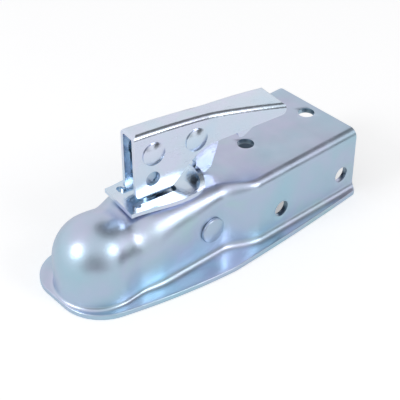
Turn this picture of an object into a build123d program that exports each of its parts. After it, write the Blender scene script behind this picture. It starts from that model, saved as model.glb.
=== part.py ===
from build123d import *
import os
from math import cos, radians, sin, sqrt

# Trailer coupling head for a 2 in ball and a 3 in channel tongue.
# Origin at the centre of the ball socket, +X rearward along the tongue, +Z up.

# Ball and pressed housing
ball_radius = 25.4
ball_play = 1.2
sheet = 4.2
top_z = 30.0
flange_top_z = -22.0
bend_radius = 3.0
flange_reach = 60.0
front_flat_x = -34.0
nose_flange_radius = 38.0
front_corner_radius = 5.0
flange_bow_x = 32.0
flange_bow_y = 46.6
flange_widest_x = 81.5
flange_widest_y = 53.4
flange_tail_y = 47.4
flange_corner_radius = 7.0
tail_x = 213.3

# Neck, shoulder and channel: outer half widths and top corner radii along X
neck_start_x = 24.0
neck_half = 32.3
neck_corner = 25.0
shoulder_start_x = 86.0
shoulder_end_x = 112.0
shoulder_corner = 11.0
channel_start_x = 122.0
channel_half = 42.2
channel_corner = 6.6
neck_steps = 10

# Bolt holes of the tongue
bolt_radius = 6.35
bolt_spacing = 63.5
top_bolt_front_x = 138.6
side_bolt_front_x = 136.0
side_bolt_z = -4.5

# Cross pin that carries the ball clamp
pin_x = 76.5
pin_z = 1.5
pin_radius = 6.0
pin_hole_play = 0.1
pin_head_radius = 9.7
pin_head_height = 3.4
pin_head_crown = 1.4
pin_head_round = 1.2
pin_head_seat = 0.3

# Latch: turned about the stem, as it stands loose on the neck
stem_x = 46.6
latch_twist = 7.0
stem_radius = 5.0
stem_slot_length = 18.0
running_play = 0.06
fixed_play = 0.04
seat_gap = 0.3

# Pressed latch seat on the neck
seat_sheet = 3.2
seat_front_u = -24.5
seat_front_half = 17.8
seat_flank_u = -6.0
seat_flank_half = 20.0
seat_side_u = 13.0
seat_side_half = 22.6
seat_curl_u = 25.0
seat_curl_half = 21.9
seat_curl_radius = 9.5
seat_rear_half = 18.5
seat_arch_half = 20.0
seat_arch_z = 41.5
pocket_depth = 2.6
pocket_front_u = -18.4
pocket_rear_u = 17.0
pocket_half = 11.6
pocket_corner = 3.0
pocket_lobe_half = 14.5
pocket_lobe_width = 5.2

# Lever pressed from one sheet
lever_sheet = 3.0
lever_half = 8.5
lever_front_u = -15.0
lever_front_z = 35.2
lever_knee_u = 12.2
lever_knee_z = 34.0
lever_waist_u = 38.0
lever_waist_z = 57.5
lever_tail_u = 106.0
lever_tail_z = 65.0
lever_rear_u = 107.0
lever_rear_top_z = 72.4
lever_mid_u = 46.0
lever_mid_top_z = 81.8
lever_front_top_z = 85.8
lever_bend = 4.2
lever_nose_radius = 5.0
lever_knee_radius = 3.0
lever_waist_radius = 26.0
lever_tail_radius = 4.0
flare_start_u = 48.0
flare_half = 15.5
flare_bend = 90.0
flare_corner = 5.0
lever_rivet_z = 68.0
trigger_rivet_u = 34.4
trigger_rivet_z = 66.2
rivet_radius = 5.0
rivet_head_radius = 8.6
rivet_head_height = 3.0
rivet_head_rim = 1.6
rivet_head_round = 0.9
lock_u = -1.2
lock_z = 48.2
lock_radius = 5.6

# Stem, nut and washers
eye_half = 3.5
eye_radius = 10.0
eye_width = 18.0
eye_foot_z = 42.5
stem_lock_radius = 5.9
side_washer_radius = 8.0
side_washer_gap = 0.2
nut_across = 17.0
nut_height = 6.2
nut_collar_height = 2.0
nut_collar_radius = 7.4
washer_thickness = 1.6
washer_radius = 8.6
stem_tail = 2.0

# Ball clamp
clamp_half = 14.0
clamp_face_play = 0.2
clamp_hub_radius = 11.5
clamp_top_z = 7.5
clamp_under_z = -6.0
clamp_crown_x = 26.0
clamp_crown_z = 1.0
clamp_heel_x = 27.0
clamp_heel_z = -16.0
clamp_lip_x = 20.0
clamp_lip_z = -13.6
clamp_foot_x = 34.0
clamp_slot_play = 1.0
clamp_slot_travel = 3.0
clamp_slot_shift = 0.8
spring_seat_play = 1.3
spacer_radius = 9.0

# Compression spring on the stem
spring_wire = 2.4
spring_radius = 8.4
spring_turns = 3.5

# Trigger inside the lever, and its torsion spring
trigger_half = 2.5
trigger_hub_radius = 8.6
trigger_hook_u = 38.3
trigger_hook_z = 40.0
trigger_tip_u = 44.6
trigger_tip_z = 31.4
trigger_heel_u = 50.6
trigger_heel_z = 34.2
trigger_back_u = 58.6
trigger_back_z = 56.8
trigger_pad_u = 79.0
trigger_pad_z = 51.6
trigger_pad_rear_u = 86.0
trigger_pad_rear_z = 58.0
trigger_pad_half = 4.6
trigger_pad_radius = 3.4
trigger_round = 1.6
torsion_wire = 0.9
torsion_turns = 1.25
torsion_pitch = 1.0
torsion_radius = 6.2
torsion_leg = 7.0
torsion_offset = 0.9

# Derived sizes
socket_radius = ball_radius + ball_play
dome_radius = socket_radius + sheet
flange_under_z = flange_top_z - sheet
roof_z = top_z - sheet
bend_z = flange_top_z + bend_radius
pin_wall = neck_half + pin_head_seat
seat_under_z = top_z + seat_gap
seat_top_z = seat_under_z + seat_sheet
lever_inner = lever_half - lever_sheet
spring_foot_z = clamp_top_z + seat_gap + washer_thickness
spring_head_z = roof_z - seat_gap - washer_thickness
nut_top_z = clamp_under_z - seat_gap - washer_thickness
stem_end_z = nut_top_z - nut_height - nut_collar_height - stem_tail

# Working planes of the latch: across the top, and along its side
latch_along = (cos(radians(latch_twist)), -sin(radians(latch_twist)), 0)
latch_across = (sin(radians(latch_twist)), cos(radians(latch_twist)), 0)
latch_side_normal = (-latch_across[0], -latch_across[1], 0)
latch_plan = Plane(origin=(stem_x, 0, 0), x_dir=latch_along, z_dir=(0, 0, 1))
latch_side = Plane(origin=(stem_x, 0, 0), x_dir=latch_along, z_dir=latch_side_normal)
latch_end = Plane(origin=(stem_x, 0, 0), x_dir=latch_across, z_dir=latch_along)


# One half of the pressed section, from the crown out to the flange and back
def half_section(half, corner, crown_z):
    foot_z = crown_z - corner
    if corner == half:
        split = radians(80)
        crown = (half * cos(split), half * sin(split))
        inner = half - sheet
        crown_in = (inner * cos(split), inner * sin(split))
        RadiusArc((0, crown_z), crown, half)
        RadiusArc((0, crown_z - sheet), crown_in, inner)
    else:
        crown = (half - corner, crown_z)
        crown_in = (half - corner, crown_z - sheet)
        Line((0, crown_z), crown)
        Line((0, crown_z - sheet), crown_in)
    RadiusArc(crown, (half, foot_z), corner)
    Line((half, foot_z), (half, bend_z))
    RadiusArc((half, bend_z), (half + bend_radius, flange_top_z), -bend_radius)
    Line((half + bend_radius, flange_top_z), (flange_reach, flange_top_z))
    Line((flange_reach, flange_top_z), (flange_reach, flange_under_z))
    Line((flange_reach, flange_under_z), (half + bend_radius, flange_under_z))
    outer_bend = bend_radius + sheet
    RadiusArc((half - sheet, bend_z), (half + bend_radius, flange_under_z), -outer_bend)
    Line((half - sheet, bend_z), (half - sheet, foot_z))
    RadiusArc(crown_in, (half - sheet, foot_z), corner - sheet)


# Whole pressed section across the tongue at one place along it
def section_at(x, half, corner, crown_z):
    with BuildLine(Plane(origin=(x, 0, 0), x_dir=(0, 1, 0), z_dir=(1, 0, 0))) as contour:
        half_section(half, corner, crown_z)
        mirror(about=Plane.XZ)
    return Face(Wire(contour.edges()))


# Smooth rise from 0 to 1 between two places along X
def rise(x, start, end):
    share = min(1.0, max(0.0, (x - start) / (end - start)))
    return share * share * (3 - 2 * share)


# Pressed section at a place between the dome and the channel
def neck_section(x):
    share = rise(x, shoulder_start_x, shoulder_end_x)
    half = neck_half + (channel_half - neck_half) * share
    if x < shoulder_start_x:
        along = (x - neck_start_x) / (shoulder_start_x - neck_start_x)
        corner = neck_corner + (shoulder_corner - neck_corner) * along
    else:
        corner = shoulder_corner + (channel_corner - shoulder_corner) * share
    return section_at(x, half, corner, top_z)


# Rivet across the latch with a domed head on each side
def latch_rivet(u, z, shank_radius, half_grip, head_radius, head_height):
    plane = latch_plan.offset(z)
    end = half_grip + head_height
    rim = half_grip + rivet_head_rim
    with BuildPart() as rivet:
        with BuildSketch(plane) as profile:
            with BuildLine():
                Polyline((u, 0), (u + shank_radius, 0), (u + shank_radius, half_grip))
                Line((u + shank_radius, half_grip), (u + head_radius, half_grip))
                Line((u + head_radius, half_grip), (u + head_radius, rim))
                TangentArc((u, end), (u + head_radius, rim), tangent=(1, 0))
                Line((u, end), (u, 0))
            make_face()
            fillet(profile.vertices().group_by(Axis.X)[-1].sort_by(Axis.Y)[-1], rivet_head_round)
        revolve(axis=Axis(plane.from_local_coords((u, 0, 0)), latch_across))
        mirror(about=Plane(origin=(stem_x, 0, 0), z_dir=latch_across))
    return rivet


# Housing: dome, neck, shoulder and channel pressed from one sheet
with BuildPart() as housing:
    with BuildSketch(Plane.XZ):
        with BuildLine():
            half_section(dome_radius, dome_radius, dome_radius)
            Line((0, dome_radius), (0, dome_radius - sheet))
        make_face()
    revolve(axis=Axis.Z, revolution_arc=360)
    with BuildSketch(Plane.YZ):
        Rectangle(4 * flange_reach, 4 * flange_reach)
    extrude(amount=2 * flange_reach, mode=Mode.SUBTRACT)
    neck_step = (channel_start_x - neck_start_x) / neck_steps
    neck_sections = [neck_section(neck_start_x + i * neck_step) for i in range(neck_steps + 1)]
    loft([section_at(0, dome_radius, dome_radius, dome_radius), neck_sections[0]])
    loft(neck_sections)
    extrude(neck_sections[-1], amount=tail_x - channel_start_x, dir=(1, 0, 0))
    # the flange is trimmed to its outline
    with BuildSketch(Plane.XY.offset(flange_under_z - 1)) as outline:
        with BuildLine():
            front_y = sqrt(nose_flange_radius**2 - front_flat_x**2)
            turn = radians(104)
            side = (nose_flange_radius * cos(turn), nose_flange_radius * sin(turn))
            Line((front_flat_x, 0), (front_flat_x, front_y))
            RadiusArc((front_flat_x, front_y), side, nose_flange_radius)
            ThreePointArc(side, (flange_bow_x, flange_bow_y), (flange_widest_x, flange_widest_y))
            Line((flange_widest_x, flange_widest_y), (tail_x, flange_tail_y))
            Line((tail_x, flange_tail_y), (tail_x, 0))
            mirror(about=Plane.XZ)
        make_face()
        fillet(outline.vertices().group_by(Axis.X)[-1], flange_corner_radius)
        fillet(outline.vertices().group_by(Axis.X)[0], front_corner_radius)
    extrude(amount=top_z * 3, mode=Mode.INTERSECT)
    # bolt holes in the top and through both walls
    with Locations((top_bolt_front_x, 0, top_z), (top_bolt_front_x + bolt_spacing, 0, top_z)):
        Hole(bolt_radius, depth=2 * sheet)
    with BuildSketch(Plane.XZ):
        with Locations((side_bolt_front_x, side_bolt_z), (side_bolt_front_x + bolt_spacing, side_bolt_z)):
            Circle(bolt_radius)
        with Locations((pin_x, pin_z)):
            Circle(pin_radius + pin_hole_play)
    extrude(amount=2 * flange_reach, both=True, mode=Mode.SUBTRACT)
    # slot for the stem in the neck's crown
    with BuildSketch(Plane.XY.offset(roof_z - 1)):
        with Locations((stem_x, 0)):
            SlotOverall(stem_slot_length, 2 * stem_radius + 2)
    extrude(amount=3 * sheet, mode=Mode.SUBTRACT)

# Cross pin: a rivet through both walls of the neck, domed head on each side
with BuildPart() as cross_pin:
    with BuildSketch(Plane.XY.offset(pin_z)) as pin_profile:
        pin_rim = pin_wall + pin_head_height - pin_head_crown
        pin_end = pin_wall + pin_head_height
        with BuildLine():
            Polyline((pin_x, 0), (pin_x + pin_radius, 0), (pin_x + pin_radius, pin_wall))
            Line((pin_x + pin_radius, pin_wall), (pin_x + pin_head_radius, pin_wall))
            Line((pin_x + pin_head_radius, pin_wall), (pin_x + pin_head_radius, pin_rim))
            TangentArc((pin_x, pin_end), (pin_x + pin_head_radius, pin_rim), tangent=(1, 0))
            Line((pin_x, pin_end), (pin_x, 0))
        make_face()
        fillet(pin_profile.vertices().group_by(Axis.X)[-1].sort_by(Axis.Y)[-1], pin_head_round)
    revolve(axis=Axis((pin_x, 0, pin_z), (0, 1, 0)))
    mirror(about=Plane.XZ)

# Spacer tubes that centre the clamp on the pin
with BuildPart() as pin_spacers:
    spacer_start = clamp_half + seat_gap
    spacer_end = neck_half - sheet - 2 * seat_gap
    with BuildSketch(Plane.XZ.offset(spacer_start)):
        with Locations((pin_x, pin_z)):
            Circle(spacer_radius)
            Circle(pin_radius + running_play, mode=Mode.SUBTRACT)
    extrude(amount=spacer_end - spacer_start)
    mirror(about=Plane.XZ)

# Washer under the neck's crown, above the spring
with BuildPart() as roof_washer:
    with BuildSketch(Plane.XY.offset(spring_head_z)):
        with Locations((stem_x, 0)):
            Circle(spring_radius + spring_wire)
            Circle(stem_radius + seat_gap, mode=Mode.SUBTRACT)
    extrude(amount=washer_thickness)

# Compression spring that pushes the clamp down
with BuildPart() as clamp_spring:
    spring_height = spring_head_z - spring_foot_z - spring_wire - 2 * fixed_play
    with BuildLine():
        coil = Helix(
            pitch=spring_height / spring_turns,
            height=spring_height,
            radius=spring_radius,
            center=(stem_x, 0, spring_foot_z + spring_wire / 2 + fixed_play),
        )
    with BuildSketch(Plane(origin=coil @ 0, z_dir=coil % 0)):
        Circle(spring_wire / 2)
    sweep()

# Washer between the spring and the clamp
with BuildPart() as spring_seat:
    with BuildSketch(Plane.XY.offset(clamp_top_z + seat_gap)):
        with Locations((stem_x, 0)):
            Circle(spring_radius + spring_wire)
            Circle(stem_radius + spring_seat_play, mode=Mode.SUBTRACT)
    extrude(amount=washer_thickness)

# Ball clamp: a forged jaw on the cross pin that holds the ball from behind and below
with BuildPart() as ball_clamp:
    with BuildSketch(Plane.XZ):
        with BuildLine():
            Polyline(
                (clamp_lip_x, clamp_lip_z),
                (clamp_heel_x, clamp_heel_z),
                (clamp_foot_x, clamp_under_z),
                (pin_x, clamp_under_z),
                (pin_x, clamp_top_z),
                (stem_x - spring_radius - spring_wire, clamp_top_z),
                (clamp_crown_x, clamp_crown_z),
                close=True,
            )
        make_face()
        with Locations((pin_x, pin_z)):
            Circle(clamp_hub_radius)
    extrude(amount=clamp_half, both=True)
    Sphere(ball_radius + clamp_face_play, mode=Mode.SUBTRACT)
    with BuildSketch(Plane.XZ):
        with Locations((pin_x, pin_z)):
            Circle(pin_radius + running_play)
    extrude(amount=2 * clamp_half, both=True, mode=Mode.SUBTRACT)
    with BuildSketch(Plane.XY):
        with Locations((stem_x - clamp_slot_shift, 0)):
            slot_width = 2 * (stem_radius + clamp_slot_play)
            SlotOverall(slot_width + clamp_slot_travel, slot_width)
    extrude(amount=2 * clamp_half, both=True, mode=Mode.SUBTRACT)

# Stem: an eye plate between the lever's walls on a round threaded rod
with BuildPart() as stem:
    with BuildSketch(latch_side):
        with Locations((0, lever_rivet_z)):
            Circle(eye_radius)
        with Locations((0, (lever_rivet_z + eye_foot_z) / 2)):
            Rectangle(eye_width, lever_rivet_z - eye_foot_z)
        with Locations((0, lever_rivet_z)):
            Circle(rivet_radius + running_play, mode=Mode.SUBTRACT)
        with Locations((lock_u, lock_z)):
            Circle(stem_lock_radius, mode=Mode.SUBTRACT)
    extrude(amount=eye_half, both=True)
    with BuildSketch(Plane.XY.offset(stem_end_z)):
        with Locations((stem_x, 0)):
            Circle(stem_radius)
    extrude(amount=eye_foot_z - stem_end_z)

# Washers on each side of the stem's eye
with BuildPart() as eye_washers:
    with BuildSketch(latch_side.offset(eye_half + side_washer_gap)):
        with Locations((0, lever_rivet_z)):
            Circle(side_washer_radius)
            Circle(rivet_radius + running_play, mode=Mode.SUBTRACT)
    extrude(amount=lever_inner - eye_half - 2 * side_washer_gap)
    mirror(about=Plane(origin=(stem_x, 0, 0), z_dir=latch_across))

# Washer and self-locking nut under the clamp
with BuildPart() as nut_washer:
    with BuildSketch(Plane.XY.offset(nut_top_z)):
        with Locations((stem_x, 0)):
            Circle(washer_radius)
            Circle(stem_radius + fixed_play, mode=Mode.SUBTRACT)
    extrude(amount=washer_thickness)

with BuildPart() as lock_nut:
    with BuildSketch(Plane.XY.offset(nut_top_z)):
        with Locations((stem_x, 0)):
            RegularPolygon(nut_across / 2, 6, major_radius=False)
    extrude(amount=-nut_height)
    with BuildSketch(Plane.XY.offset(nut_top_z - nut_height)):
        with Locations((stem_x, 0)):
            Circle(nut_collar_radius)
    extrude(amount=-nut_collar_height)
    with BuildSketch(Plane.XY.offset(nut_top_z)):
        with Locations((stem_x, 0)):
            Circle(stem_radius + fixed_play)
    extrude(amount=-2 * nut_height, mode=Mode.SUBTRACT)

# Latch seat: a plate on the neck, its rear edge curled up into an arch
with BuildPart() as latch_seat:
    curl_centre_z = seat_top_z + seat_curl_radius
    curl_outer = seat_curl_radius + seat_sheet
    with BuildSketch(latch_side):
        with BuildLine():
            Polyline(
                (seat_curl_u, seat_top_z),
                (seat_front_u, seat_top_z),
                (seat_front_u, seat_under_z),
                (seat_curl_u, seat_under_z),
            )
            RadiusArc((seat_curl_u, seat_under_z), (seat_curl_u + curl_outer, curl_centre_z), -curl_outer)
            Line((seat_curl_u + curl_outer, curl_centre_z), (seat_curl_u + seat_curl_radius, curl_centre_z))
            RadiusArc((seat_curl_u, seat_top_z), (seat_curl_u + seat_curl_radius, curl_centre_z), -seat_curl_radius)
        make_face()
    extrude(amount=2 * seat_side_half, both=True)
    with BuildSketch(latch_plan):
        with BuildLine():
            rear_u = seat_curl_u + curl_outer + 1
            Line((seat_front_u, 0), (seat_front_u, seat_front_half))
            Spline(
                (seat_front_u, seat_front_half),
                (seat_flank_u, seat_flank_half),
                (seat_side_u, seat_side_half),
                (seat_curl_u, seat_curl_half),
                (rear_u, seat_rear_half),
            )
            Line((rear_u, seat_rear_half), (rear_u, -seat_rear_half))
            Spline(
                (seat_front_u, -seat_front_half),
                (seat_flank_u, -seat_flank_half),
                (seat_side_u, -seat_side_half),
                (seat_curl_u, -seat_curl_half),
                (rear_u, -seat_rear_half),
            )
            Line((seat_front_u, -seat_front_half), (seat_front_u, 0))
        make_face()
    extrude(amount=3 * top_z, mode=Mode.INTERSECT)
    with BuildSketch(latch_end.offset(seat_front_u - 1)):
        with BuildLine():
            reach = 2 * seat_side_half
            rim_z = seat_top_z + fixed_play
            Polyline((-seat_arch_half, rim_z), (-reach, rim_z), (-reach, 0), (reach, 0), (reach, rim_z))
            Line((reach, rim_z), (seat_arch_half, rim_z))
            ThreePointArc((seat_arch_half, rim_z), (0, seat_arch_z), (-seat_arch_half, rim_z))
        make_face()
    extrude(amount=4 * seat_side_half, mode=Mode.INTERSECT)
    # coined pocket under the lever's nose, with a relief at each front corner
    with BuildSketch(latch_plan.offset(seat_top_z)):
        with Locations(((pocket_front_u + pocket_rear_u) / 2, 0)):
            RectangleRounded(pocket_rear_u - pocket_front_u, 2 * pocket_half, pocket_corner)
        with Locations((pocket_front_u + pocket_lobe_width / 2, 0)):
            SlotOverall(2 * pocket_lobe_half, pocket_lobe_width, rotation=90)
    extrude(amount=-pocket_depth, mode=Mode.SUBTRACT)
    with BuildSketch(latch_plan.offset(seat_top_z)):
        Circle(stem_radius + 3 * seat_gap)
    extrude(amount=-2 * seat_sheet, mode=Mode.SUBTRACT)


# Lever shape grown inward by a wall: side profile and flared plan, fillet along the folds
def lever_block(inset, fold, drop):
    half = lever_half - inset
    tail_half = flare_half - inset
    front_u = lever_front_u - drop
    rear_u = lever_rear_u + drop
    with BuildPart() as block:
        with BuildSketch(latch_side):
            with BuildLine():
                Line((front_u, 0), (front_u, lever_front_top_z - inset))
                ThreePointArc(
                    (front_u, lever_front_top_z - inset),
                    (lever_mid_u, lever_mid_top_z - inset),
                    (rear_u, lever_rear_top_z - inset),
                )
                Line((rear_u, lever_rear_top_z - inset), (rear_u, 0))
                Line((rear_u, 0), (front_u, 0))
            make_face()
        extrude(amount=3 * flare_half, both=True)
        with BuildSketch(latch_plan):
            with BuildLine():
                slope = (tail_half - half) / (lever_rear_u - flare_start_u)
                end_half = tail_half + slope * drop
                FilletPolyline(
                    (front_u, half),
                    (flare_start_u, half),
                    (rear_u, end_half),
                    radius=flare_bend,
                )
                Line((rear_u, end_half), (rear_u, -end_half))
                FilletPolyline(
                    (rear_u, -end_half),
                    (flare_start_u, -half),
                    (front_u, -half),
                    radius=flare_bend,
                )
                Line((front_u, -half), (front_u, half))
            make_face()
        extrude(amount=4 * top_z, mode=Mode.INTERSECT)
        folds = block.faces().filter_by(GeomType.CYLINDER).sort_by(SortBy.AREA)[-1].edges()
        fillet(folds.sort_by(SortBy.LENGTH)[2:], fold)
    return block


# Lever: an inverted channel, flared into a handle, with a squared nose below the pivot
with BuildPart() as lever:
    add(lever_block(0, lever_bend, 0).part)
    add(lever_block(lever_sheet, lever_bend - lever_sheet, 4).part, mode=Mode.SUBTRACT)
    with BuildSketch(latch_side):
        with BuildLine():
            FilletPolyline(
                (lever_front_u, 2 * top_z + lever_front_z),
                (lever_front_u, lever_front_z),
                (lever_knee_u, lever_knee_z),
                (lever_waist_u, lever_waist_z),
                (lever_tail_u, lever_tail_z),
                (lever_rear_u, lever_rear_top_z + lever_bend),
                radius=[lever_nose_radius, lever_knee_radius, lever_waist_radius, lever_tail_radius],
            )
            Line((lever_rear_u, lever_rear_top_z + lever_bend), (lever_front_u, 2 * top_z + lever_front_z))
        make_face()
    extrude(amount=3 * flare_half, both=True, mode=Mode.INTERSECT)
    with BuildSketch(latch_side):
        with Locations((0, lever_rivet_z), (trigger_rivet_u, trigger_rivet_z)):
            Circle(rivet_radius + fixed_play)
        with Locations((lock_u, lock_z)):
            Circle(lock_radius)
    extrude(amount=2 * lever_half, both=True, mode=Mode.SUBTRACT)

grip = lever_half + fixed_play
lever_rivet = latch_rivet(0, lever_rivet_z, rivet_radius, grip, rivet_head_radius, rivet_head_height)
trigger_rivet = latch_rivet(
    trigger_rivet_u, trigger_rivet_z, rivet_radius, grip, rivet_head_radius, rivet_head_height
)

# Trigger: a flat finger on the second rivet, hooked behind the seat's arch
with BuildPart() as trigger:
    with BuildSketch(latch_side) as trigger_side:
        with BuildLine():
            Polyline(
                (trigger_rivet_u - trigger_hub_radius + 1, trigger_rivet_z - 1),
                (trigger_hook_u, trigger_back_z),
                (trigger_hook_u, trigger_hook_z),
                (trigger_tip_u, trigger_tip_z - 0.6),
                (trigger_heel_u, trigger_heel_z),
                (trigger_back_u, trigger_back_z),
                (trigger_pad_u - 7, trigger_back_z),
                (trigger_pad_u, trigger_pad_z),
                (trigger_pad_rear_u, trigger_pad_rear_z),
                (trigger_pad_rear_u - 2, trigger_pad_rear_z + 3.5),
                (trigger_rivet_u + 4, trigger_rivet_z + trigger_hub_radius - 1),
                close=True,
            )
        make_face()
        fillet(trigger_side.vertices(), trigger_round)
        with Locations((trigger_rivet_u, trigger_rivet_z)):
            Circle(trigger_hub_radius)
            Circle(rivet_radius + running_play, mode=Mode.SUBTRACT)
    extrude(amount=trigger_half, both=True)
    with BuildSketch(latch_side):
        with Locations((trigger_pad_u, trigger_pad_z + trigger_pad_radius + 0.8)):
            SlotOverall(4 * trigger_pad_radius, 2 * trigger_pad_radius, rotation=30)
    extrude(amount=trigger_pad_half, both=True)

# Washer that keeps the trigger off the lever's near wall
with BuildPart() as trigger_washer:
    with BuildSketch(latch_side.offset(trigger_half + side_washer_gap)):
        with Locations((trigger_rivet_u, trigger_rivet_z)):
            Circle(side_washer_radius)
            Circle(rivet_radius + running_play, mode=Mode.SUBTRACT)
    extrude(amount=lever_inner - trigger_half - 2 * side_washer_gap)

# Torsion spring beside the trigger's hub
with BuildPart() as trigger_spring:
    torsion_start = latch_side.from_local_coords(
        (trigger_rivet_u, trigger_rivet_z, -trigger_half - torsion_offset)
    )
    with BuildLine():
        torsion = Helix(
            pitch=torsion_pitch,
            height=torsion_pitch * torsion_turns,
            radius=torsion_radius,
            center=torsion_start,
            direction=latch_across,
        )
    with BuildSketch(Plane(origin=torsion @ 0, z_dir=torsion % 0)):
        Circle(torsion_wire / 2)
    sweep()
    with BuildSketch(Plane(origin=torsion @ 0, z_dir=torsion % 0)):
        Circle(torsion_wire / 2)
    extrude(amount=-torsion_leg)
    with BuildSketch(Plane(origin=torsion @ 1, z_dir=torsion % 1)):
        Circle(torsion_wire / 2)
    extrude(amount=torsion_leg)

# Each piece is written under its own name
os.makedirs("parts", exist_ok=True)
pieces = {
    "housing": housing,
    "cross_pin": cross_pin,
    "pin_spacers": pin_spacers,
    "roof_washer": roof_washer,
    "clamp_spring": clamp_spring,
    "spring_seat": spring_seat,
    "ball_clamp": ball_clamp,
    "stem": stem,
    "eye_washers": eye_washers,
    "nut_washer": nut_washer,
    "lock_nut": lock_nut,
    "latch_seat": latch_seat,
    "lever": lever,
    "lever_rivet": lever_rivet,
    "trigger_rivet": trigger_rivet,
    "trigger": trigger,
    "trigger_washer": trigger_washer,
    "trigger_spring": trigger_spring,
}
for name, piece in pieces.items():
    piece.part.label = name
    export_step(piece.part, f"parts/{name}.step")
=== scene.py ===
import math

import bmesh
import bpy
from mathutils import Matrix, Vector


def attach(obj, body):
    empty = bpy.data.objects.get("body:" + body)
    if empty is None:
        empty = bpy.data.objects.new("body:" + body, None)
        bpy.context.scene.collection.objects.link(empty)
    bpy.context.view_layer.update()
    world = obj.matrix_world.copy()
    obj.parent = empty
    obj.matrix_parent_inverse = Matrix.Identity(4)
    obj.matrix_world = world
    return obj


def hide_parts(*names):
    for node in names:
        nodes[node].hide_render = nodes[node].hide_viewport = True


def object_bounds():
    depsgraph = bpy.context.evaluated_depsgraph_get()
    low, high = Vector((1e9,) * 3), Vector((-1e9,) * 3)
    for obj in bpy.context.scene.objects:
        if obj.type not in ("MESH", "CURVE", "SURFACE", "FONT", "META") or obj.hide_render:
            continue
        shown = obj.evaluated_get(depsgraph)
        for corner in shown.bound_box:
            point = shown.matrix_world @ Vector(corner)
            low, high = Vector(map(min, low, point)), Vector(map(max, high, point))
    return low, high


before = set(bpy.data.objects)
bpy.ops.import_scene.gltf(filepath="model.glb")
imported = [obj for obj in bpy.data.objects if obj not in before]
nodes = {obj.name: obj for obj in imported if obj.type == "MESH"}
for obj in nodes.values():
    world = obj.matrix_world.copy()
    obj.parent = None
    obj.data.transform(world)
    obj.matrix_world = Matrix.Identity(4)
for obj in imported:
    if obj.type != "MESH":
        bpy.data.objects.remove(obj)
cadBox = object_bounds()
scene = bpy.context.scene
mm = 0.001  # shapes are written in millimetres
alongX, alongY, alongZ = (1, 0, 0), (0, 1, 0), (0, 0, 1)
white = (1.0, 1.0, 1.0, 1.0)
mixFirst, mixSecond, mixResult = 6, 7, 2  # the colour sockets of a mix node
print("frame loaded:", len(nodes), "nodes")


def addNode(tree, kind, **values):
    node = tree.nodes.new(kind)
    for key, value in values.items():
        setattr(node, key, value)
    return node


def setInputs(node, values):
    for socket, value in values.items():
        node.inputs[socket].default_value = value


def calculate(tree, operation, *values):
    node = addNode(tree, "ShaderNodeMath", operation=operation)
    for socket, value in zip(node.inputs, values):
        if isinstance(value, float):
            socket.default_value = value
        else:
            tree.links.new(value, socket)
    return node.outputs[0]


def dotProduct(tree, first, second):
    node = addNode(tree, "ShaderNodeVectorMath", operation="DOT_PRODUCT")
    tree.links.new(first, node.inputs[0])
    if isinstance(second, Vector):
        node.inputs[1].default_value = second
    else:
        tree.links.new(second, node.inputs[1])
    return node.outputs["Value"]


def newMaterial(name):
    material = bpy.data.materials.new(name)
    material.use_nodes = True
    tree = material.node_tree
    tree.nodes.clear()
    output = addNode(tree, "ShaderNodeOutputMaterial")
    shader = addNode(tree, "ShaderNodeBsdfPrincipled")
    tree.links.new(shader.outputs["BSDF"], output.inputs["Surface"])
    return material, tree, shader


def objectNoise(tree, scale, detail, stretch=(1, 1, 1), shift=(0, 0, 0)):
    coord = addNode(tree, "ShaderNodeTexCoord")
    mapping = addNode(tree, "ShaderNodeMapping")
    setInputs(mapping, {"Scale": stretch, "Location": shift})
    noise = addNode(tree, "ShaderNodeTexNoise")
    setInputs(noise, {"Scale": scale, "Detail": detail})
    tree.links.new(coord.outputs["Object"], mapping.inputs["Vector"])
    tree.links.new(mapping.outputs["Vector"], noise.inputs["Vector"])
    return noise.outputs["Fac"]


def spread(tree, source, old, new, kind="LINEAR"):
    ranged = addNode(tree, "ShaderNodeMapRange", interpolation_type=kind)
    setInputs(ranged, {"From Min": old[0], "From Max": old[1], "To Min": new[0], "To Max": new[1]})
    tree.links.new(source, ranged.inputs["Value"])
    return ranged.outputs["Result"]


def colorRamp(tree, source, stops):
    ramp = addNode(tree, "ShaderNodeValToRGB")
    while len(ramp.color_ramp.elements) < len(stops):
        ramp.color_ramp.elements.new(0.5)
    for element, (place, color) in zip(ramp.color_ramp.elements, stops):
        element.position = place
        element.color = (*color, 1.0)
    tree.links.new(source, ramp.inputs["Fac"])
    return ramp.outputs["Color"]


def mixColor(tree, factor, first, second, kind="MIX"):
    mix = addNode(tree, "ShaderNodeMix", data_type="RGBA", blend_type=kind)
    sockets = (mix.inputs["Factor"], mix.inputs[mixFirst], mix.inputs[mixSecond])
    for socket, value in zip(sockets, (factor, first, second)):
        if isinstance(value, float):
            socket.default_value = value
        elif isinstance(value, tuple):
            socket.default_value = (*value, 1.0)
        else:
            tree.links.new(value, socket)
    return mix.outputs[mixResult]


def bump(tree, height, strength, depth, under=None):
    node = addNode(tree, "ShaderNodeBump")
    setInputs(node, {"Strength": strength, "Distance": depth})
    tree.links.new(height, node.inputs["Height"])
    if under:
        tree.links.new(under, node.inputs["Normal"])
    return node.outputs["Normal"]


# Shared by all finishes; each band is the part of a noise or turn that takes effect
platingLook = {
    "paintedFacingBand": (0.25, 0.95),
    "broadDetail": 3.0,
    "fineDetail": 4.0,
    "wearAndHighlightSamples": 6,
    "wearAndHighlightBand": (0.97, 0.78),
    "wearAndHighlightMost": 0.75,
    "patchScale": 180.0,
    "patchShift": (5, 2, 1),
    "patchBand": (0.35, 0.62),
    "patchLeast": 0.25,
    "cloudPerDrift": 3,
    "cloudShift": (3, 1, 2),
    "cloudBand": (0.3, 0.7),
    "scratchBand": (0.56, 0.70),
    "rippleDetail": 2.0,
    "rippleShift": (1, 4, 2),
    "rippleStrength": 0.7,
    "grainStrength": 0.5,
}
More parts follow.
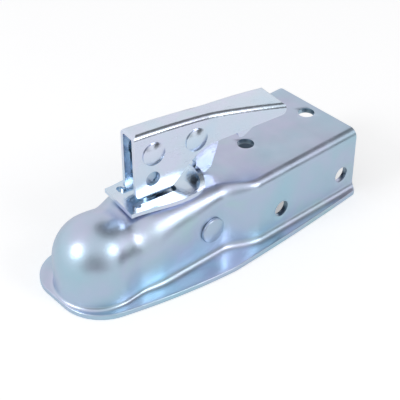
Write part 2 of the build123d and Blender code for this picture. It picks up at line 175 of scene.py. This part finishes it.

# Zinc plating with painted light and shade: the tint follows the way a face points; it also drifts to lilac,
# rose and green
satinZinc = {
    "name": "satinZinc",
    "paintedWallTint": (0.50, 0.65, 0.78),
    "paintedTopTint": (0.52, 0.59, 0.73),
    "drift": [
        (0.30, (0.90, 1.02, 1.00)),
        (0.46, (0.98, 1.0, 1.0)),
        (0.58, (1.06, 0.98, 1.02)),
        (0.72, (1.0, 1.04, 0.97)),
    ],
    "driftScale": 26.0,
    "roughLow": 0.29,
    "roughHigh": 0.38,
    "grainScale": 1500.0,
    "grainDepth": 0.00003,
    "rippleScale": 880.0,
    "rippleDepth": 0.00010,
    "scratchScale": 260.0,
    "scratchStretch": (1.0, 0.05, 1.0),
    "scratchRough": 0.03,
    "wearAndHighlightRadius": 0.0011,
    "wearAndHighlightTint": (0.90, 0.93, 0.97),
}

brightZinc = {
    "name": "brightZinc",
    "paintedWallTint": (0.72, 0.82, 0.95),
    "paintedTopTint": (0.66, 0.74, 0.85),
    "drift": [
        (0.30, (0.92, 1.0, 1.02)),
        (0.48, (1.0, 1.0, 1.0)),
        (0.60, (1.05, 0.98, 1.02)),
        (0.74, (0.97, 1.03, 0.98)),
    ],
    "driftScale": 34.0,
    "roughLow": 0.16,
    "roughHigh": 0.25,
    "grainScale": 1300.0,
    "grainDepth": 0.00002,
    "rippleScale": 520.0,
    "rippleDepth": 0.00008,
    "scratchScale": 320.0,
    "scratchStretch": (0.05, 1.0, 1.0),
    "scratchRough": 0.12,
    "wearAndHighlightRadius": 0.0009,
    "wearAndHighlightTint": (0.96, 0.97, 1.0),
}

paintedShadeZinc = dict(
    satinZinc,
    name="paintedShadeZinc",  # duller plating inside the pressing, its dark tint painted shade where little light reaches
    paintedWallTint=(0.15, 0.21, 0.29),
    paintedTopTint=(0.15, 0.21, 0.29),
    roughLow=0.42,
    roughHigh=0.55,
)

# painted light and shade here too: the top tint is lighter than the wall tint
springSteel = {
    "name": "springSteel",
    "paintedWallTint": (0.42, 0.44, 0.48),
    "paintedTopTint": (0.46, 0.48, 0.52),
    "drift": [(0.35, (0.85, 0.88, 0.92)), (0.65, (1.08, 1.06, 1.02))],
    "driftScale": 90.0,
    "roughLow": 0.26,
    "roughHigh": 0.42,
    "grainScale": 1600.0,
    "grainDepth": 0.00003,
    "rippleScale": 300.0,
    "rippleDepth": 0.00003,
    "scratchScale": 500.0,
    "scratchStretch": (1.0, 1.0, 0.1),
    "scratchRough": 0.12,
    "wearAndHighlightRadius": 0.0004,
    "wearAndHighlightTint": (0.70, 0.71, 0.73),
}


def plating(finish, look):
    material, tree, shader = newMaterial(finish["name"])
    link = tree.links.new
    shader.inputs["Metallic"].default_value = 1.0
    coord = addNode(tree, "ShaderNodeTexCoord")
    facing = addNode(tree, "ShaderNodeSeparateXYZ")
    link(coord.outputs["Normal"], facing.inputs["Vector"])
    # painted light and shade: walls and tops get different tints by the way they face
    paintedFacingShare = spread(tree, facing.outputs["Z"], look["paintedFacingBand"], (0.0, 1.0))
    tint = mixColor(tree, paintedFacingShare, finish["paintedWallTint"], finish["paintedTopTint"])
    drift = objectNoise(tree, finish["driftScale"], look["broadDetail"])
    tint = mixColor(tree, 1.0, tint, colorRamp(tree, drift, finish["drift"]), "MULTIPLY")
    # worn edges with a painted highlight: lighter where a rounded normal leaves the face's own
    rounded = addNode(tree, "ShaderNodeBevel", samples=look["wearAndHighlightSamples"])
    rounded.inputs["Radius"].default_value = finish["wearAndHighlightRadius"]
    flat = addNode(tree, "ShaderNodeNewGeometry")
    turned = dotProduct(tree, rounded.outputs["Normal"], flat.outputs["Normal"])
    edge = spread(tree, turned, look["wearAndHighlightBand"], (0.0, look["wearAndHighlightMost"]))
    patches = objectNoise(tree, look["patchScale"], look["broadDetail"], shift=look["patchShift"])
    patches = spread(tree, patches, look["patchBand"], (look["patchLeast"], 1.0))
    wearAndHighlight = calculate(tree, "MULTIPLY", edge, patches)
    link(mixColor(tree, wearAndHighlight, tint, finish["wearAndHighlightTint"]), shader.inputs["Base Color"])
    # satin cloud and fine scratches, then a faint unevenness of the sheet
    cloudScale = finish["driftScale"] * look["cloudPerDrift"]
    cloud = objectNoise(tree, cloudScale, look["fineDetail"], shift=look["cloudShift"])
    cloud = spread(tree, cloud, look["cloudBand"], (finish["roughLow"], finish["roughHigh"]))
    scratch = objectNoise(tree, finish["scratchScale"], look["fineDetail"], finish["scratchStretch"])
    scratch = spread(tree, scratch, look["scratchBand"], (0.0, finish["scratchRough"]))
    link(calculate(tree, "ADD", cloud, scratch), shader.inputs["Roughness"])
    ripple = objectNoise(tree, finish["rippleScale"], look["rippleDetail"], shift=look["rippleShift"])
    ripple = bump(tree, ripple, look["rippleStrength"], finish["rippleDepth"])
    grain = objectNoise(tree, finish["grainScale"], look["broadDetail"])
    grain = bump(tree, grain, look["grainStrength"], finish["grainDepth"], ripple)
    link(grain, shader.inputs["Normal"])
    return material


satinMaterial = plating(satinZinc, platingLook)
brightMaterial = plating(brightZinc, platingLook)
springMaterial = plating(springSteel, platingLook)
paintedShadeMaterial = plating(paintedShadeZinc, platingLook)

finishOfNode = {
    "latch_seat": brightMaterial,
    "lever": brightMaterial,
    "lever_rivet": brightMaterial,
    "trigger_rivet": brightMaterial,
    "trigger": brightMaterial,
    "trigger_washer": brightMaterial,
    "trigger_spring": springMaterial,
    "clamp_spring": springMaterial,
}
for name, node in nodes.items():
    node.data.materials.clear()
    node.data.materials.append(finishOfNode.get(name, satinMaterial))
print("plating on", len(nodes), "nodes")


def plainMesh(piece):
    # keeps what the modifiers make as the piece's own mesh
    evaluated = piece.evaluated_get(bpy.context.evaluated_depsgraph_get())
    mesh = bpy.data.meshes.new_from_object(evaluated)
    piece.modifiers.clear()
    piece.data = mesh


# Pressed housing, in millimetres: one sheet from the dome over the neck to the channel
housingShape = {
    "domeRadius": 31.0,
    "sheet": 4.2,
    "topZ": 30.0,
    "flangeTopZ": -22.0,
    "noseBend": 3.0,
    "sideBend": 5.6,
    "sideBendX": 42.0,
    "edgeRound": 0.7,
    "neckHalf": 32.3,
    "channelHalf": 42.2,
    "shoulder": (85.0, 115.0),
    "valleyStart": 10.0,
    "valleyDrop": 4.0,
    "valleyWaist": 3.0,
    "valleySoft": 2.4,
    "valleySoftX": 13.0,
    "crownEnd": 36.0,
    "sideEnd": 34.0,
    "roundEnd": 50.0,
    "neckRound": 25.0,
    "neckRoundX": 24.0,
    "shoulderRound": 11.0,
    "channelRound": 6.6,
    "tailX": 213.3,
    "tailCorner": 4.2,
    "tailY": 47.4,
    "nearArcs": [
        [(-33.0, -6.0), (-27.1, -23.7), (-9.2, -36.9)],
        [(-9.2, -36.9), (32.0, -46.6), (81.5, -53.4)],
        [(81.5, -53.4), (150.0, -51.2), (209.1, -47.4)],
    ],
    "farArcs": [
        [(-33.0, 14.0), (-27.0, 33.2), (-9.8, 44.2)],
        [(-9.8, 44.2), (32.0, 50.5), (81.5, 53.4)],
        [(81.5, 53.4), (150.0, 51.2), (209.1, 47.4)],
    ],
    "topHoles": [138.6, 202.1],
    "sideHoles": [136.0, 199.5],
    "sideHoleZ": -4.5,
    "holeRadius": 6.35,
    "pinHole": (76.5, 1.5, 6.1),
    "stemSlot": (46.6, 18.0, 12.0),
    "topCut": 9,
    "sideCut": 60,
    "rimWidth": 0.35,
    "rimSegments": 2,
    "rimAngle": 50,
    "smoothAngle": 32,
}

# How finely the sheet is drawn: points on each part of a rib, and where the ribs stand
housingSteps = {
    "crown": 6,
    "corner": 14,
    "wall": 6,
    "outerBend": 6,
    "flange": 3,
    "edge": 4,
    "innerBend": 8,
    "underCrown": 5,
    "arc": 24,
    "tailTurn": 12,
    "nosePoints": 41,
    "noseTurns": 72,
    "stations": [(0, 1.5, 33), (50, 3, 12), (86, 1.5, 20), (118, 8, 11)],  # first x, step, count
    "tailStations": 8,
    "weld": 0.00001,
}


def ease(x, start, end):
    share = min(1.0, max(0.0, (x - start) / (end - start)))
    return share * share * (3 - 2 * share)


def softLarger(a, b, soft):
    return (a + b + math.sqrt((a - b) ** 2 + soft * soft)) / 2


def crossSection(x, shape):
    ball = math.sqrt(max(shape["domeRadius"] ** 2 - x * x, 0.0))
    start = shape["valleyStart"]
    leaving = 1 - ease(x, shape["sideEnd"], shape["roundEnd"])
    soft = shape["valleySoft"] * ease(x, 0, shape["valleySoftX"]) * leaving
    waist = shape["valleyWaist"] * (1 - ease(x, start, shape["sideEnd"]))
    drop = shape["valleyDrop"] * (1 - ease(x, start, shape["crownEnd"]))
    half = softLarger(ball, shape["neckHalf"] - waist, soft)
    crown = softLarger(ball, shape["topZ"] - drop, soft)
    first, last = shape["shoulder"]
    share = ease(x, first, last)
    if x < first:
        along = (x - shape["neckRoundX"]) / (first - shape["neckRoundX"])
        neckRound = shape["neckRound"] + (shape["shoulderRound"] - shape["neckRound"]) * along
        ballRound = min(half, crown)
        corner = ballRound + (neckRound - ballRound) * ease(x, start, shape["roundEnd"])
    else:
        corner = shape["shoulderRound"] + (shape["channelRound"] - shape["shoulderRound"]) * share
    bend = shape["noseBend"] + (shape["sideBend"] - shape["noseBend"]) * ease(x, 0, shape["sideBendX"])
    return half + (shape["channelHalf"] - shape["neckHalf"]) * share, corner, crown, bend


def line(a, b, count):
    steps = [i / count for i in range(count)]
    return [(a[0] + (b[0] - a[0]) * step, a[1] + (b[1] - a[1]) * step) for step in steps]


def arc(center, radius, start, end, count):
    angles = [start + (end - start) * i / count for i in range(count)]
    return [(center[0] + radius * math.cos(a), center[1] + radius * math.sin(a)) for a in angles]


def rib(section, reach, shape, steps):
    # the sheet's section from the crown to the flange's lip, and back along the inside
    half, corner, crown, bend = section
    sheet, edge = shape["sheet"], shape["edgeRound"]
    top, under = shape["flangeTopZ"], shape["flangeTopZ"] - sheet
    foot, bendZ, middle = crown - corner, top + bend, half + bend
    lip, innerBend = reach - edge, bend + sheet
    outerTurn, innerTurn = [
        math.acos(min(1.0, max(0.0, (middle - lip) / size))) for size in (bend, innerBend)
    ]
    outerEnd = (middle - bend * math.cos(outerTurn), bendZ - bend * math.sin(outerTurn))
    innerEnd = (middle - innerBend * math.cos(innerTurn), bendZ - innerBend * math.sin(innerTurn))
    lipZ = max(top, outerEnd[1]) if lip <= middle else top
    points = line((0, crown), (half - corner, crown), steps["crown"])
    points += arc((half - corner, foot), corner, math.pi / 2, 0, steps["corner"])
    points += line((half, foot), (half, bendZ), steps["wall"])
    points += arc((middle, bendZ), bend, math.pi, math.pi + outerTurn, steps["outerBend"])
    points += line(outerEnd, (lip, lipZ), steps["flange"])
    points += arc((lip, top - edge), edge, math.pi / 2, 0, steps["edge"])
    points += arc((lip, under + edge), edge, 0, -math.pi / 2, steps["edge"])
    points += line((lip, under), innerEnd, steps["flange"])
    points += arc((middle, bendZ), innerBend, math.pi + innerTurn, math.pi, steps["innerBend"])
    points += line((half - sheet, bendZ), (half - sheet, foot), steps["wall"])
    points += arc((half - corner, foot), corner - sheet, 0, math.pi / 2, steps["corner"])
    points += line((half - corner, crown - sheet), (0, crown - sheet), steps["underCrown"])
    points.append((0, crown - sheet))
    return points


def arcThrough(a, b, c, count):
    ax, ay, bx, by, cx, cy = *a, *b, *c
    aa, bb, cc = ax * ax + ay * ay, bx * bx + by * by, cx * cx + cy * cy
    double = 2 * (ax * (by - cy) + bx * (cy - ay) + cx * (ay - by))
    ux = (aa * (by - cy) + bb * (cy - ay) + cc * (ay - by)) / double
    uy = (aa * (cx - bx) + bb * (ax - cx) + cc * (bx - ax)) / double
    radius = math.hypot(ax - ux, ay - uy)
    start = math.atan2(ay - uy, ax - ux)
    turn = (math.atan2(cy - uy, cx - ux) - start + math.pi) % (2 * math.pi) - math.pi
    angles = [start + turn * i / count for i in range(count + 1)]
    return [(ux + radius * math.cos(v), uy + radius * math.sin(v)) for v in angles]


def outlineSide(arcs, shape, steps):
    points = [point for three in arcs for point in arcThrough(*three, steps["arc"])]
    side = math.copysign(1.0, points[-1][1])
    radius = shape["tailCorner"]
    middleX, middleY = shape["tailX"] - radius, shape["tailY"] - radius
    for i in range(steps["tailTurn"] + 1):
        angle = math.pi / 2 * i / steps["tailTurn"]
        points.append((middleX + radius * math.sin(angle), side * (middleY + radius * math.cos(angle))))
    return points


def valueAt(x, points):
    for (x0, y0), (x1, y1) in zip(points, points[1:]):
        if x0 <= x <= x1 and x1 > x0:
            return y0 + (y1 - y0) * (x - x0) / (x1 - x0)
    return points[-1][1]


def reachAt(angle, outline):
    # how far out the outline lies from the dome's middle, in one direction
    alongWay, acrossWay = math.cos(angle), math.sin(angle)
    for (x0, y0), (x1, y1) in zip(outline, outline[1:]):
        c0 = alongWay * y0 - acrossWay * x0
        c1 = alongWay * y1 - acrossWay * x1
        if c0 * c1 <= 0 and c0 != c1:
            share = c0 / (c0 - c1)
            x, y = x0 + (x1 - x0) * share, y0 + (y1 - y0) * share
            if x * alongWay + y * acrossWay > 0:
                return math.hypot(x, y)
    return math.hypot(*outline[-1])


def prism(name, outline, origin, across, up, depth):
    mesh = bpy.data.meshes.new(name)
    origin, across, up = Vector(origin), Vector(across), Vector(up)
    side = across.cross(up)
    corners = [origin + across * u + up * v + side * end for end in (-depth, depth) for u, v in outline]
    count = len(outline)
    faces = [tuple(range(count)), tuple(range(2 * count - 1, count - 1, -1))]
    faces += [(i, (i + 1) % count, count + (i + 1) % count, count + i) for i in range(count)]
    mesh.from_pydata([tuple(corner * mm) for corner in corners], [], faces)
    work = bmesh.new()
    work.from_mesh(mesh)
    bmesh.ops.recalc_face_normals(work, faces=work.faces)
    work.to_mesh(mesh)
    work.free()
    piece = bpy.data.objects.new(name, mesh)
    scene.collection.objects.link(piece)
    return piece


def circle(radius, count=56):
    angles = [2 * math.pi * i / count for i in range(count)]
    return [(radius * math.cos(angle), radius * math.sin(angle)) for angle in angles]


def slotOutline(length, width, count=20):
    radius, run = width / 2, (length - width) / 2
    angles = [math.pi * i / count for i in range(count + 1)]
    right = [(run + radius * math.sin(angle), radius * math.cos(angle)) for angle in angles]
    return right + [(-x, -y) for x, y in right]


def housingRibs(shape, steps):
    near = outlineSide(shape["nearArcs"], shape, steps)
    far = outlineSide(shape["farArcs"], shape, steps)
    # the nose's outline, from the near side round to the far side
    front = near[:steps["nosePoints"]][::-1] + far[:steps["nosePoints"]]
    stations = [first + step * i for first, step, count in steps["stations"] for i in range(count)]
    for i in range(steps["tailStations"] + 1):
        turn = math.pi / 2 * i / steps["tailStations"]
        stations.append(shape["tailX"] - shape["tailCorner"] * (1 - math.sin(turn)))
    ribs = []
    for x in reversed(stations):
        section = rib(crossSection(x, shape), valueAt(x, far), shape, steps)
        ribs.append([(x, r, z) for r, z in section])
    radius = shape["domeRadius"]
    nose = (radius, radius, radius, shape["noseBend"])
    for i in range(1, steps["noseTurns"]):
        angle = math.pi / 2 + math.pi * i / steps["noseTurns"]
        section = rib(nose, reachAt(angle, front), shape, steps)
        ribs.append([(r * math.cos(angle), r * math.sin(angle), z) for r, z in section])
    for x in stations:
        section = rib(crossSection(x, shape), -valueAt(x, near), shape, steps)
        ribs.append([(x, -r, z) for r, z in section])
    return ribs


def housingCutters(shape):
    hole = circle(shape["holeRadius"])
    pinX, pinZ, pinRadius = shape["pinHole"]
    slotX, slotLength, slotWidth = shape["stemSlot"]
    top = (alongX, alongY, shape["topCut"])
    side = (alongX, alongZ, shape["sideCut"])
    cutters = [prism("topHole", hole, (x, 0, shape["topZ"]), *top) for x in shape["topHoles"]]
    cutters += [prism("sideHole", hole, (x, 0, shape["sideHoleZ"]), *side) for x in shape["sideHoles"]]
    cutters.append(prism("pinHole", circle(pinRadius), (pinX, 0, pinZ), *side))
    cutters.append(prism("stemSlot", slotOutline(slotLength, slotWidth), (slotX, 0, shape["topZ"]), *top))
    return cutters


def makeHousing(shape, steps):
    # the inside starts where the rib turns under the flange's lip; from there on the faces take the painted
    # shade material
    paintedShadeFrom = sum(steps[part] for part in ("crown", "corner", "wall", "outerBend", "flange"))
    paintedShadeFrom += 2 * steps["edge"]
    work = bmesh.new()
    ribs = housingRibs(shape, steps)
    grid = [[work.verts.new([value * mm for value in point]) for point in row] for row in ribs]
    for a, b in zip(grid, grid[1:]):
        for i in range(len(a) - 1):
            face = work.faces.new((a[i], a[i + 1], b[i + 1], b[i]))
            face.material_index = int(i >= paintedShadeFrom)
    work.faces.new(grid[0] + grid[-1][::-1])
    bmesh.ops.remove_doubles(work, verts=work.verts, dist=steps["weld"])
    bmesh.ops.dissolve_degenerate(work, edges=work.edges, dist=steps["weld"])
    endFace = [face for face in work.faces if len(face.verts) > 4]
    bmesh.ops.triangulate(work, faces=endFace, ngon_method="EAR_CLIP")
    bmesh.ops.recalc_face_normals(work, faces=work.faces)
    mesh = bpy.data.meshes.new("pressed_housing")
    work.to_mesh(mesh)
    work.free()
    # painted shade: the inside faces get a dark copy of the plating
    mesh.materials.append(satinMaterial)
    mesh.materials.append(paintedShadeMaterial)
    body = bpy.data.objects.new("pressed_housing", mesh)
    scene.collection.objects.link(body)
    cutters = housingCutters(shape)
    for cutter in cutters:
        cut = body.modifiers.new(cutter.name, "BOOLEAN")
        cut.operation = "DIFFERENCE"
        cut.solver = "EXACT"
        cut.object = cutter
    rim = body.modifiers.new("rim", "BEVEL")
    rim.width = shape["rimWidth"] * mm
    rim.segments = shape["rimSegments"]
    rim.limit_method = "ANGLE"
    rim.angle_limit = math.radians(shape["rimAngle"])
    rim.harden_normals = False
    plainMesh(body)
    for cutter in cutters:
        bpy.data.objects.remove(cutter)
    body.data.shade_smooth()
    body.data.set_sharp_from_angle(angle=math.radians(shape["smoothAngle"]))
    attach(body, "housing")
    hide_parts("housing")
    return body


pressedHousing = makeHousing(housingShape, housingSteps)
print("housing pressed:", len(pressedHousing.data.polygons), "faces")


def openTree(name, labels):
    tree = bpy.data.node_groups.new(name, "GeometryNodeTree")
    interface = tree.interface
    for label in labels:
        interface.new_socket(label, in_out="INPUT", socket_type="NodeSocketFloat")
    interface.new_socket("Material", in_out="INPUT", socket_type="NodeSocketMaterial")
    interface.new_socket("Geometry", in_out="OUTPUT", socket_type="NodeSocketGeometry")
    return tree, addNode(tree, "NodeGroupInput").outputs


def closeTree(tree, given, geometry):
    realize = addNode(tree, "GeometryNodeRealizeInstances")
    paint = addNode(tree, "GeometryNodeSetMaterial")
    result = addNode(tree, "NodeGroupOutput")
    tree.links.new(geometry, realize.inputs["Geometry"])
    tree.links.new(realize.outputs["Geometry"], paint.inputs["Geometry"])
    tree.links.new(given["Material"], paint.inputs["Material"])
    tree.links.new(paint.outputs["Geometry"], result.inputs["Geometry"])


def grow(name, tree, values):
    # runs a node tree on an empty piece and keeps its result as a plain mesh
    piece = bpy.data.objects.new(name, bpy.data.meshes.new(name))
    scene.collection.objects.link(piece)
    maker = piece.modifiers.new("maker", "NODES")
    maker.node_group = tree
    for item in tree.interface.items_tree:
        if item.in_out == "INPUT":
            maker[item.identifier] = values[item.name]
    plainMesh(piece)
    return piece


# Rolled thread on the lower stem, a ridge that winds round it
threadShape = {
    "center": (46.6, 0.0, -17.6),
    "radius": 4.98,
    "pitch": 1.5,
    "turns": 11,
    "ridge": 0.42,
    "turnSteps": 40,
    "ridgeSides": 4,
}


def makeThread(shape):
    values = {
        "Radius": shape["radius"] * mm,
        "Pitch": shape["pitch"] * mm,
        "Turns": shape["turns"],
        "Ridge": shape["ridge"] * mm,
    }
    tree, given = openTree("rolledThread", values)
    link = tree.links.new
    spiral = addNode(tree, "GeometryNodeCurveSpiral")
    spiral.inputs["Resolution"].default_value = shape["turnSteps"]
    profile = addNode(tree, "GeometryNodeCurvePrimitiveCircle")
    profile.inputs["Resolution"].default_value = shape["ridgeSides"]
    sweep = addNode(tree, "GeometryNodeCurveToMesh")
    sweep.inputs["Fill Caps"].default_value = True
    link(given["Radius"], spiral.inputs["Start Radius"])
    link(given["Radius"], spiral.inputs["End Radius"])
    link(given["Turns"], spiral.inputs["Rotations"])
    link(calculate(tree, "MULTIPLY", given["Pitch"], given["Turns"]), spiral.inputs["Height"])
    link(given["Ridge"], profile.inputs["Radius"])
    link(spiral.outputs["Curve"], sweep.inputs["Curve"])
    link(profile.outputs["Curve"], sweep.inputs["Profile Curve"])
    closeTree(tree, given, sweep.outputs["Mesh"])
    piece = grow("stem_thread", tree, dict(values, Material=satinMaterial))
    for vertex in piece.data.vertices:
        vertex.co += Vector(shape["center"]) * mm
    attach(piece, "stem")
    return piece


stemThread = makeThread(threadShape)
print("thread rolled:", len(stemThread.data.polygons), "faces")

# The latch's two rivets: a shank through the lever with a domed head at each side
rivetShape = {
    "firstPlace": (46.6, 0.0, 68.0),
    "step": (34.1436, -4.1923, -1.8),
    "count": 2,
    "turn": 7.0,
    "headRadius": 8.6,
    "shankRadius": 5.0,
    "grip": 8.6,
    "rim": 0.7,
    "dome": 2.25,
    "headSides": 56,
    "headRings": 10,
    "smoothAngle": 40,
}


def domedHead(tree, given, shape):
    # the disk's upper face rises by the dome, less the square of the way to the rim
    link = tree.links.new
    head = addNode(tree, "GeometryNodeMeshCylinder", fill_type="TRIANGLE_FAN")
    setInputs(head, {"Vertices": shape["headSides"], "Side Segments": 1, "Fill Segments": shape["headRings"]})
    link(given["Head Radius"], head.inputs["Radius"])
    link(given["Rim"], head.inputs["Depth"])
    place = addNode(tree, "GeometryNodeInputPosition")
    parts = addNode(tree, "ShaderNodeSeparateXYZ")
    link(place.outputs[0], parts.inputs[0])
    squares = [
        calculate(tree, "POWER", side, 2.0)
        for side in (parts.outputs["X"], parts.outputs["Y"], given["Head Radius"])
    ]
    share = calculate(tree, "DIVIDE", calculate(tree, "ADD", *squares[:2]), squares[2])
    rise = addNode(tree, "ShaderNodeCombineXYZ")
    left = calculate(tree, "SUBTRACT", 1.0, share)
    link(calculate(tree, "MULTIPLY", left, given["Dome"]), rise.inputs["Z"])
    upper = addNode(tree, "FunctionNodeCompare", data_type="FLOAT", operation="GREATER_THAN")
    link(parts.outputs["Z"], upper.inputs[0])
    domed = addNode(tree, "GeometryNodeSetPosition")
    link(head.outputs["Mesh"], domed.inputs["Geometry"])
    link(upper.outputs[0], domed.inputs["Selection"])
    link(rise.outputs[0], domed.inputs["Offset"])
    return domed.outputs["Geometry"]


def makeRivets(shape):
    keys = {
        "Head Radius": "headRadius",
        "Shank Radius": "shankRadius",
        "Grip": "grip",
        "Rim": "rim",
        "Dome": "dome",
    }
    tree, given = openTree("domedRivets", keys)
    link = tree.links.new
    outward = addNode(tree, "ShaderNodeCombineXYZ")
    halfRim = calculate(tree, "MULTIPLY", given["Rim"], 0.5)
    link(calculate(tree, "ADD", given["Grip"], halfRim), outward.inputs["Z"])
    nearHead = addNode(tree, "GeometryNodeTransform")
    link(domedHead(tree, given, shape), nearHead.inputs["Geometry"])
    link(outward.outputs[0], nearHead.inputs["Translation"])
    farHead = addNode(tree, "GeometryNodeTransform")
    farHead.inputs["Rotation"].default_value = (math.pi, 0.0, 0.0)
    link(nearHead.outputs["Geometry"], farHead.inputs["Geometry"])
    shank = addNode(tree, "GeometryNodeMeshCylinder", fill_type="NGON")
    link(given["Shank Radius"], shank.inputs["Radius"])
    doubleGrip = calculate(tree, "MULTIPLY", given["Grip"], 2.0)
    link(calculate(tree, "ADD", doubleGrip, given["Rim"]), shank.inputs["Depth"])
    joined = addNode(tree, "GeometryNodeJoinGeometry")
    for source in (nearHead.outputs["Geometry"], farHead.outputs["Geometry"], shank.outputs["Mesh"]):
        link(source, joined.inputs[0])
    spots = addNode(tree, "GeometryNodeMeshLine", mode="OFFSET")
    start, offset = Vector(shape["firstPlace"]) * mm, Vector(shape["step"]) * mm
    setInputs(spots, {"Count": shape["count"], "Start Location": start, "Offset": offset})
    copies = addNode(tree, "GeometryNodeInstanceOnPoints")
    copies.inputs["Rotation"].default_value = (-math.pi / 2, 0.0, -math.radians(shape["turn"]))
    link(spots.outputs["Mesh"], copies.inputs["Points"])
    link(joined.outputs[0], copies.inputs["Instance"])
    closeTree(tree, given, copies.outputs["Instances"])
    values = {label: shape[key] * mm for label, key in keys.items()}
    piece = grow("latch_rivets", tree, dict(values, Material=brightMaterial))
    piece.data.shade_smooth()
    piece.data.set_sharp_from_angle(angle=math.radians(shape["smoothAngle"]))
    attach(piece, "lever")
    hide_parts("lever_rivet", "trigger_rivet")
    return piece


latchRivets = makeRivets(rivetShape)
print("rivets set:", len(latchRivets.data.polygons), "faces")

floorLook = {
    "size": 6.0,
    "color": (0.80, 0.80, 0.81),
    "rough": 0.9,
    "cameraLift": 0.42,
    "glossLift": 0.20,
}


def makeFloor(look):
    low = cadBox[0][2]
    half = look["size"] / 2
    mesh = bpy.data.meshes.new("floor")
    corners = [(-half, -half, low), (half, -half, low), (half, half, low), (-half, half, low)]
    mesh.from_pydata(corners, [], [(0, 1, 2, 3)])
    floor = bpy.data.objects.new("floor", mesh)
    scene.collection.objects.link(floor)
    material, tree, shader = newMaterial("floorPaper")
    setInputs(shader, {
        "Base Color": (*look["color"], 1.0),
        "Roughness": look["rough"],
        "Specular IOR Level": 0.0,
        "Emission Color": white,
    })
    rays = addNode(tree, "ShaderNodeLightPath").outputs
    # the paper glows a little: most to the camera, less in the metal, not at all on other rays
    lift = calculate(tree, "MULTIPLY_ADD", rays["Is Camera Ray"], look["cameraLift"], 0.0)
    for ray in ("Is Glossy Ray", "Is Transmission Ray"):
        lift = calculate(tree, "MULTIPLY_ADD", rays[ray], look["glossLift"], lift)
    tree.links.new(lift, shader.inputs["Emission Strength"])
    mesh.materials.append(material)


makeFloor(floorLook)
print("floor laid")

studioLight = {
    "softLevel": 0.55,
    "skyLevel": 0.92,
    "darkPatches": [
        {"azimuth": -131.8, "elevation": 8.0, "wide": 46.0, "narrow": 10.0, "depth": 0.62},
        {"azimuth": 4.0, "elevation": 58.0, "wide": 30.0, "narrow": 18.0, "depth": 0.80},
        {"azimuth": -57.0, "elevation": 4.0, "wide": 23.0, "narrow": 10.0, "depth": 0.90},
    ],
    "lampSize": 0.62,
    "lampDistance": 1.6,
    "lamps": [
        {"name": "leftDisk", "azimuth": 167.4, "elevation": 34.5, "power": 6.0},
        {"name": "rightDisk", "azimuth": -68.9, "elevation": 37.1, "power": 3.6},
    ],
}


def towards(azimuth, elevation):
    turn, tilt = math.radians(azimuth), math.radians(elevation)
    return Vector((math.cos(tilt) * math.cos(turn), math.cos(tilt) * math.sin(turn), math.sin(tilt)))


def makeLamp(lamp, look):
    data = bpy.data.lights.new(lamp["name"], "AREA")
    data.shape = "DISK"
    data.size = look["lampSize"]
    data.energy = lamp["power"]
    toward = towards(lamp["azimuth"], lamp["elevation"])
    light = bpy.data.objects.new(lamp["name"], data)
    light.location = toward * look["lampDistance"]
    light.rotation_euler = toward.to_track_quat("Z", "Y").to_euler()
    scene.collection.objects.link(light)


def background(tree, strength):
    node = addNode(tree, "ShaderNodeBackground")
    node.inputs["Color"].default_value = white
    if isinstance(strength, float):
        node.inputs["Strength"].default_value = strength
    else:
        tree.links.new(strength, node.inputs["Strength"])
    return node.outputs["Background"]


def mixShader(tree, factor, first, second):
    mix = addNode(tree, "ShaderNodeMixShader")
    for source, socket in zip((factor, first, second), mix.inputs):
        tree.links.new(source, socket)
    return mix.outputs["Shader"]


def makeWorld(look):
    world = bpy.data.worlds.new("studio")
    world.use_nodes = True
    tree = world.node_tree
    tree.nodes.clear()
    output = addNode(tree, "ShaderNodeOutputWorld")
    rays = addNode(tree, "ShaderNodeLightPath").outputs
    coord = addNode(tree, "ShaderNodeTexCoord")
    level = look["skyLevel"]  # what the metal mirrors, with the dark patches taken out
    for patch in look["darkPatches"]:
        toward = towards(patch["azimuth"], patch["elevation"])
        facing = dotProduct(tree, coord.outputs["Generated"], toward)
        rim = [math.cos(math.radians(patch[edge])) for edge in ("wide", "narrow")]
        shade = spread(tree, facing, rim, (1.0, 1.0 - patch["depth"]), "SMOOTHSTEP")
        level = calculate(tree, "MULTIPLY", shade, level)
    inMetal = calculate(tree, "MAXIMUM", rays["Is Glossy Ray"], rays["Is Transmission Ray"])
    sky = mixShader(tree, inMetal, background(tree, look["softLevel"]), background(tree, level))
    sky = mixShader(tree, rays["Is Camera Ray"], sky, background(tree, 1.0))
    tree.links.new(sky, output.inputs["Surface"])
    scene.world = world


makeWorld(studioLight)
for lamp in studioLight["lamps"]:
    makeLamp(lamp, studioLight)
scene.view_settings.view_transform = "Standard"
print("studio lit by", len(studioLight["lamps"]), "lamps")

cameraPlace = {
    "location": (-0.331187, -0.482189, 0.490500),
    "yaw": 0.848218,
    "pitch": 0.651372,
    "focalPixels": 1108.82,
    "imagePixels": 400,
    "sensor": 36.0,
    "clipStart": 0.01,
}


def makeCamera(place):
    data = bpy.data.cameras.new("photoCamera")
    data.sensor_width = place["sensor"]
    data.lens = place["focalPixels"] / place["imagePixels"] * place["sensor"]
    data.clip_start = place["clipStart"]
    camera = bpy.data.objects.new("photoCamera", data)
    camera.location = place["location"]
    camera.rotation_euler = (math.pi / 2 - place["pitch"], 0.0, place["yaw"] - math.pi / 2)
    scene.collection.objects.link(camera)
    scene.camera = camera


makeCamera(cameraPlace)
print("camera set")
